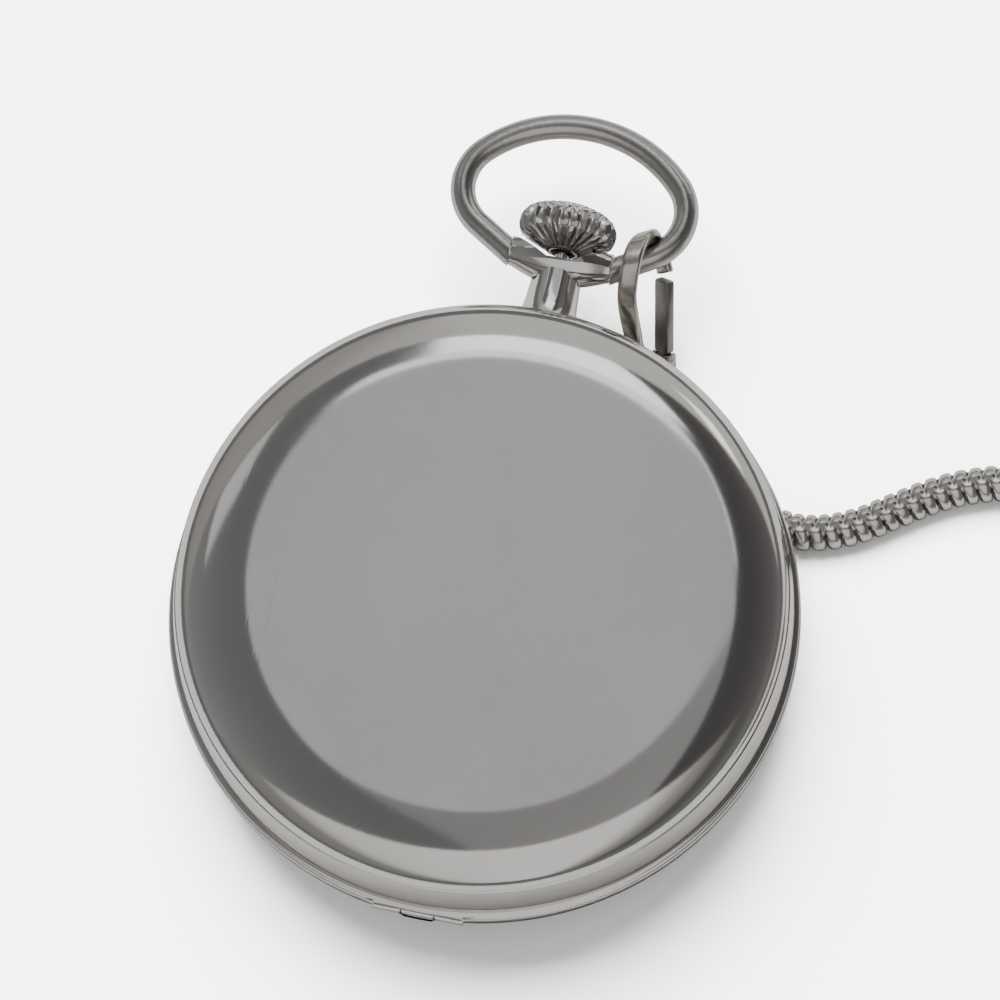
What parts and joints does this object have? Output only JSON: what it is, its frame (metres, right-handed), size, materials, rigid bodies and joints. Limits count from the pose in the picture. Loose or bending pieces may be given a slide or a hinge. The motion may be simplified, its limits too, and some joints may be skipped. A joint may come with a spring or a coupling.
{
  "type": "hunter pocket watch",
  "caption": "Hunter-case pocket watch lying on its lid, with crown, bow, a hook clasp on the bow and a snake chain that ends in a T-bar.",
  "frame": {"origin": "middle of the flat resting face of the front lid", "axes": "+Y towards the pendant, +Z from the lid to the back cover, +X to the right seen from the back"},
  "size_m": [0.1017, 0.0641, 0.0146],
  "materials": {
    "case_steel": "polished, with faint wear",
    "bow_steel": "satin",
    "clasp_steel": "satin, duller than the case",
    "gate_steel": "dark satin",
    "chain_steel": "polished",
    "plate_brass": "gilt, fine grained",
    "wheel_brass": "brushed",
    "movement_steel": "polished",
    "blued_steel": "heat blued",
    "ruby": "clear red synthetic ruby",
    "crystal_clear": "clear",
    "dial_enamel": "gloss white enamel",
    "hand_black": "gloss black",
    "seal_rubber": "matt"
  },
  "bodies": {
    "watch": {"case_middle": "case_steel", "bezel": "case_steel", "crystal": "crystal_clear", "case_gasket": "seal_rubber", "lock_spring": "movement_steel", "fly_spring": "movement_steel", "case_screws": "blued_steel", "pendant": "case_steel", "stem_sleeve": "movement_steel", "dial": "dial_enamel", "main_plate": "plate_brass", "barrel_bridge": "plate_brass", "train_bridge": "plate_brass", "balance_cock": "plate_brass", "pallet_bridge": "plate_brass", "jewels": "ruby", "bridge_screws": "blued_steel", "click_spring": "movement_steel", "clasp_hook": "clasp_steel", "clasp_gate_pin": "gate_steel", "clasp_swivel": "clasp_steel", "chain_ring": "clasp_steel", "chain_end_cap": "clasp_steel", "chain_tube": "chain_steel", "chain_coil": "chain_steel", "far_end_cap": "clasp_steel", "t_bar": "clasp_steel"},
    "lid": {"front_lid": "case_steel", "lid_hinge_pin": "movement_steel"},
    "back": {"back_cover": "case_steel"},
    "bow_body": {"bow": "bow_steel"},
    "crown_slider": {"crown_gasket": "seal_rubber"},
    "crown_stem": {"crown": "case_steel", "winding_stem": "movement_steel", "winding_pinion": "movement_steel", "sliding_pinion": "movement_steel"},
    "lever": {"setting_lever": "movement_steel"},
    "regulator_body": {"regulator": "movement_steel"},
    "barrel": {"mainspring_barrel": "wheel_brass", "mainspring": "blued_steel"},
    "ratchet": {"ratchet_wheel": "movement_steel", "barrel_arbor": "movement_steel"},
    "crown_wheel_body": {"crown_wheel": "movement_steel"},
    "click_body": {"click": "movement_steel"},
    "centre": {"centre_wheel": "wheel_brass"},
    "third": {"third_wheel": "wheel_brass"},
    "fourth": {"fourth_wheel": "wheel_brass", "seconds_hand": "hand_black"},
    "escape": {"escape_wheel": "movement_steel"},
    "pallets": {"pallet_fork": "movement_steel"},
    "balance": {"balance_wheel": "wheel_brass", "balance_staff": "movement_steel", "hairspring": "blued_steel"},
    "minute": {"cannon_pinion": "movement_steel", "minute_hand": "hand_black"},
    "minute_wheel_body": {"minute_wheel": "wheel_brass"},
    "hour": {"hour_wheel": "wheel_brass", "hour_hand": "hand_black"},
    "gate": {"clasp_gate": "gate_steel"}
  },
  "joints": [
    {"name": "lid_open", "type": "hinge", "parent": "watch", "child": "lid", "pos_m": [0, -0.02325, 0.0065], "axis": [-1, 0, 0], "range_deg": [0, 95]},
    {"name": "back_cover_lift", "type": "slide", "parent": "watch", "child": "back", "axis": [0, 0, 1], "range_m": [0, 0.025]},
    {"name": "bow_swing", "type": "hinge", "parent": "watch", "child": "bow_body", "pos_m": [0, 0.0283, 0.0092], "axis": [1, 0, 0], "range_deg": [0, 90]},
    {"name": "crown_pull", "type": "slide", "parent": "watch", "child": "crown_slider", "axis": [0, 1, 0], "range_m": [-0.0004, 0.0009]},
    {"name": "crown_turn", "type": "hinge", "parent": "crown_slider", "child": "crown_stem", "pos_m": [0, 0.028, 0.0092], "axis": [0, 1, 0], "continuous": true},
    {"name": "setting_lever_turn", "type": "hinge", "parent": "watch", "child": "lever", "pos_m": [0.005, 0.0164, 0.008], "axis": [0, 0, -1], "range_deg": [-6.7, 15]},
    {"name": "crown_wheel_turn", "type": "hinge", "parent": "watch", "child": "crown_wheel_body", "pos_m": [0.0006, 0.0101, 0.012], "axis": [0, 0, 1], "continuous": true},
    {"name": "ratchet_turn", "type": "hinge", "parent": "watch", "child": "ratchet", "pos_m": [-0.0059, 0.006, 0.012], "axis": [0, 0, 1], "continuous": true},
    {"name": "click_turn", "type": "hinge", "parent": "watch", "child": "click_body", "pos_m": [-0.0111, 0.0086, 0.012], "axis": [0, 0, 1], "range_deg": [0, 8], "stiffness_Nm_per_rad": 0.0001},
    {"name": "fourth_turn", "type": "hinge", "parent": "watch", "child": "fourth", "pos_m": [0, -0.009, 0.01], "axis": [0, 0, 1], "continuous": true},
    {"name": "third_turn", "type": "hinge", "parent": "watch", "child": "third", "pos_m": [0.0046, -0.0052, 0.01], "axis": [0, 0, 1], "continuous": true},
    {"name": "centre_turn", "type": "hinge", "parent": "watch", "child": "centre", "pos_m": [0, 0, 0.01], "axis": [0, 0, 1], "continuous": true},
    {"name": "barrel_turn", "type": "hinge", "parent": "watch", "child": "barrel", "pos_m": [-0.0059, 0.006, 0.01], "axis": [0, 0, 1], "continuous": true},
    {"name": "escape_turn", "type": "hinge", "parent": "watch", "child": "escape", "pos_m": [-0.0046, -0.0117, 0.01], "axis": [0, 0, 1], "continuous": true},
    {"name": "pallets_rock", "type": "hinge", "parent": "watch", "child": "pallets", "pos_m": [-0.007, -0.0082, 0.01], "axis": [0, 0, 1], "range_deg": [-5, 5]},
    {"name": "balance_swing", "type": "hinge", "parent": "watch", "child": "balance", "pos_m": [-0.0095, -0.0045, 0.011], "axis": [0, 0, 1], "range_deg": [-150, 150]},
    {"name": "regulator_turn", "type": "hinge", "parent": "watch", "child": "regulator_body", "pos_m": [-0.0095, -0.0045, 0.013], "axis": [0, 0, 1], "range_deg": [-20, 20]},
    {"name": "minute_turn", "type": "hinge", "parent": "watch", "child": "minute", "pos_m": [0, 0, 0.007], "axis": [0, 0, 1], "continuous": true},
    {"name": "minute_wheel_turn", "type": "hinge", "parent": "watch", "child": "minute_wheel_body", "pos_m": [0.00375, 0.0019, 0.008], "axis": [0, 0, 1], "continuous": true},
    {"name": "hour_turn", "type": "hinge", "parent": "watch", "child": "hour", "pos_m": [0, 0, 0.007], "axis": [0, 0, 1], "continuous": true},
    {"name": "gate_open", "type": "hinge", "parent": "watch", "child": "gate", "pos_m": [0.00875, 0.0243, 0.0025], "axis": [0.775, -0.333, 0.537], "range_deg": [0, 20], "stiffness_Nm_per_rad": 0.0002}
  ],
  "couplings": [
    {"joint": "crown_wheel_turn", "follows": "crown_turn", "ratio": 0.44444},
    {"joint": "ratchet_turn", "follows": "crown_turn", "ratio": -0.38095},
    {"joint": "setting_lever_turn", "follows": "crown_pull", "rad_per_m": 288},
    {"joint": "third_turn", "follows": "fourth_turn", "ratio": -0.13333},
    {"joint": "centre_turn", "follows": "fourth_turn", "ratio": 0.016667},
    {"joint": "barrel_turn", "follows": "fourth_turn", "ratio": -0.0026316},
    {"joint": "escape_turn", "follows": "fourth_turn", "ratio": -10},
    {"joint": "minute_wheel_turn", "follows": "minute_turn", "ratio": -0.33333},
    {"joint": "hour_turn", "follows": "minute_turn", "ratio": 0.083333}
  ]
}
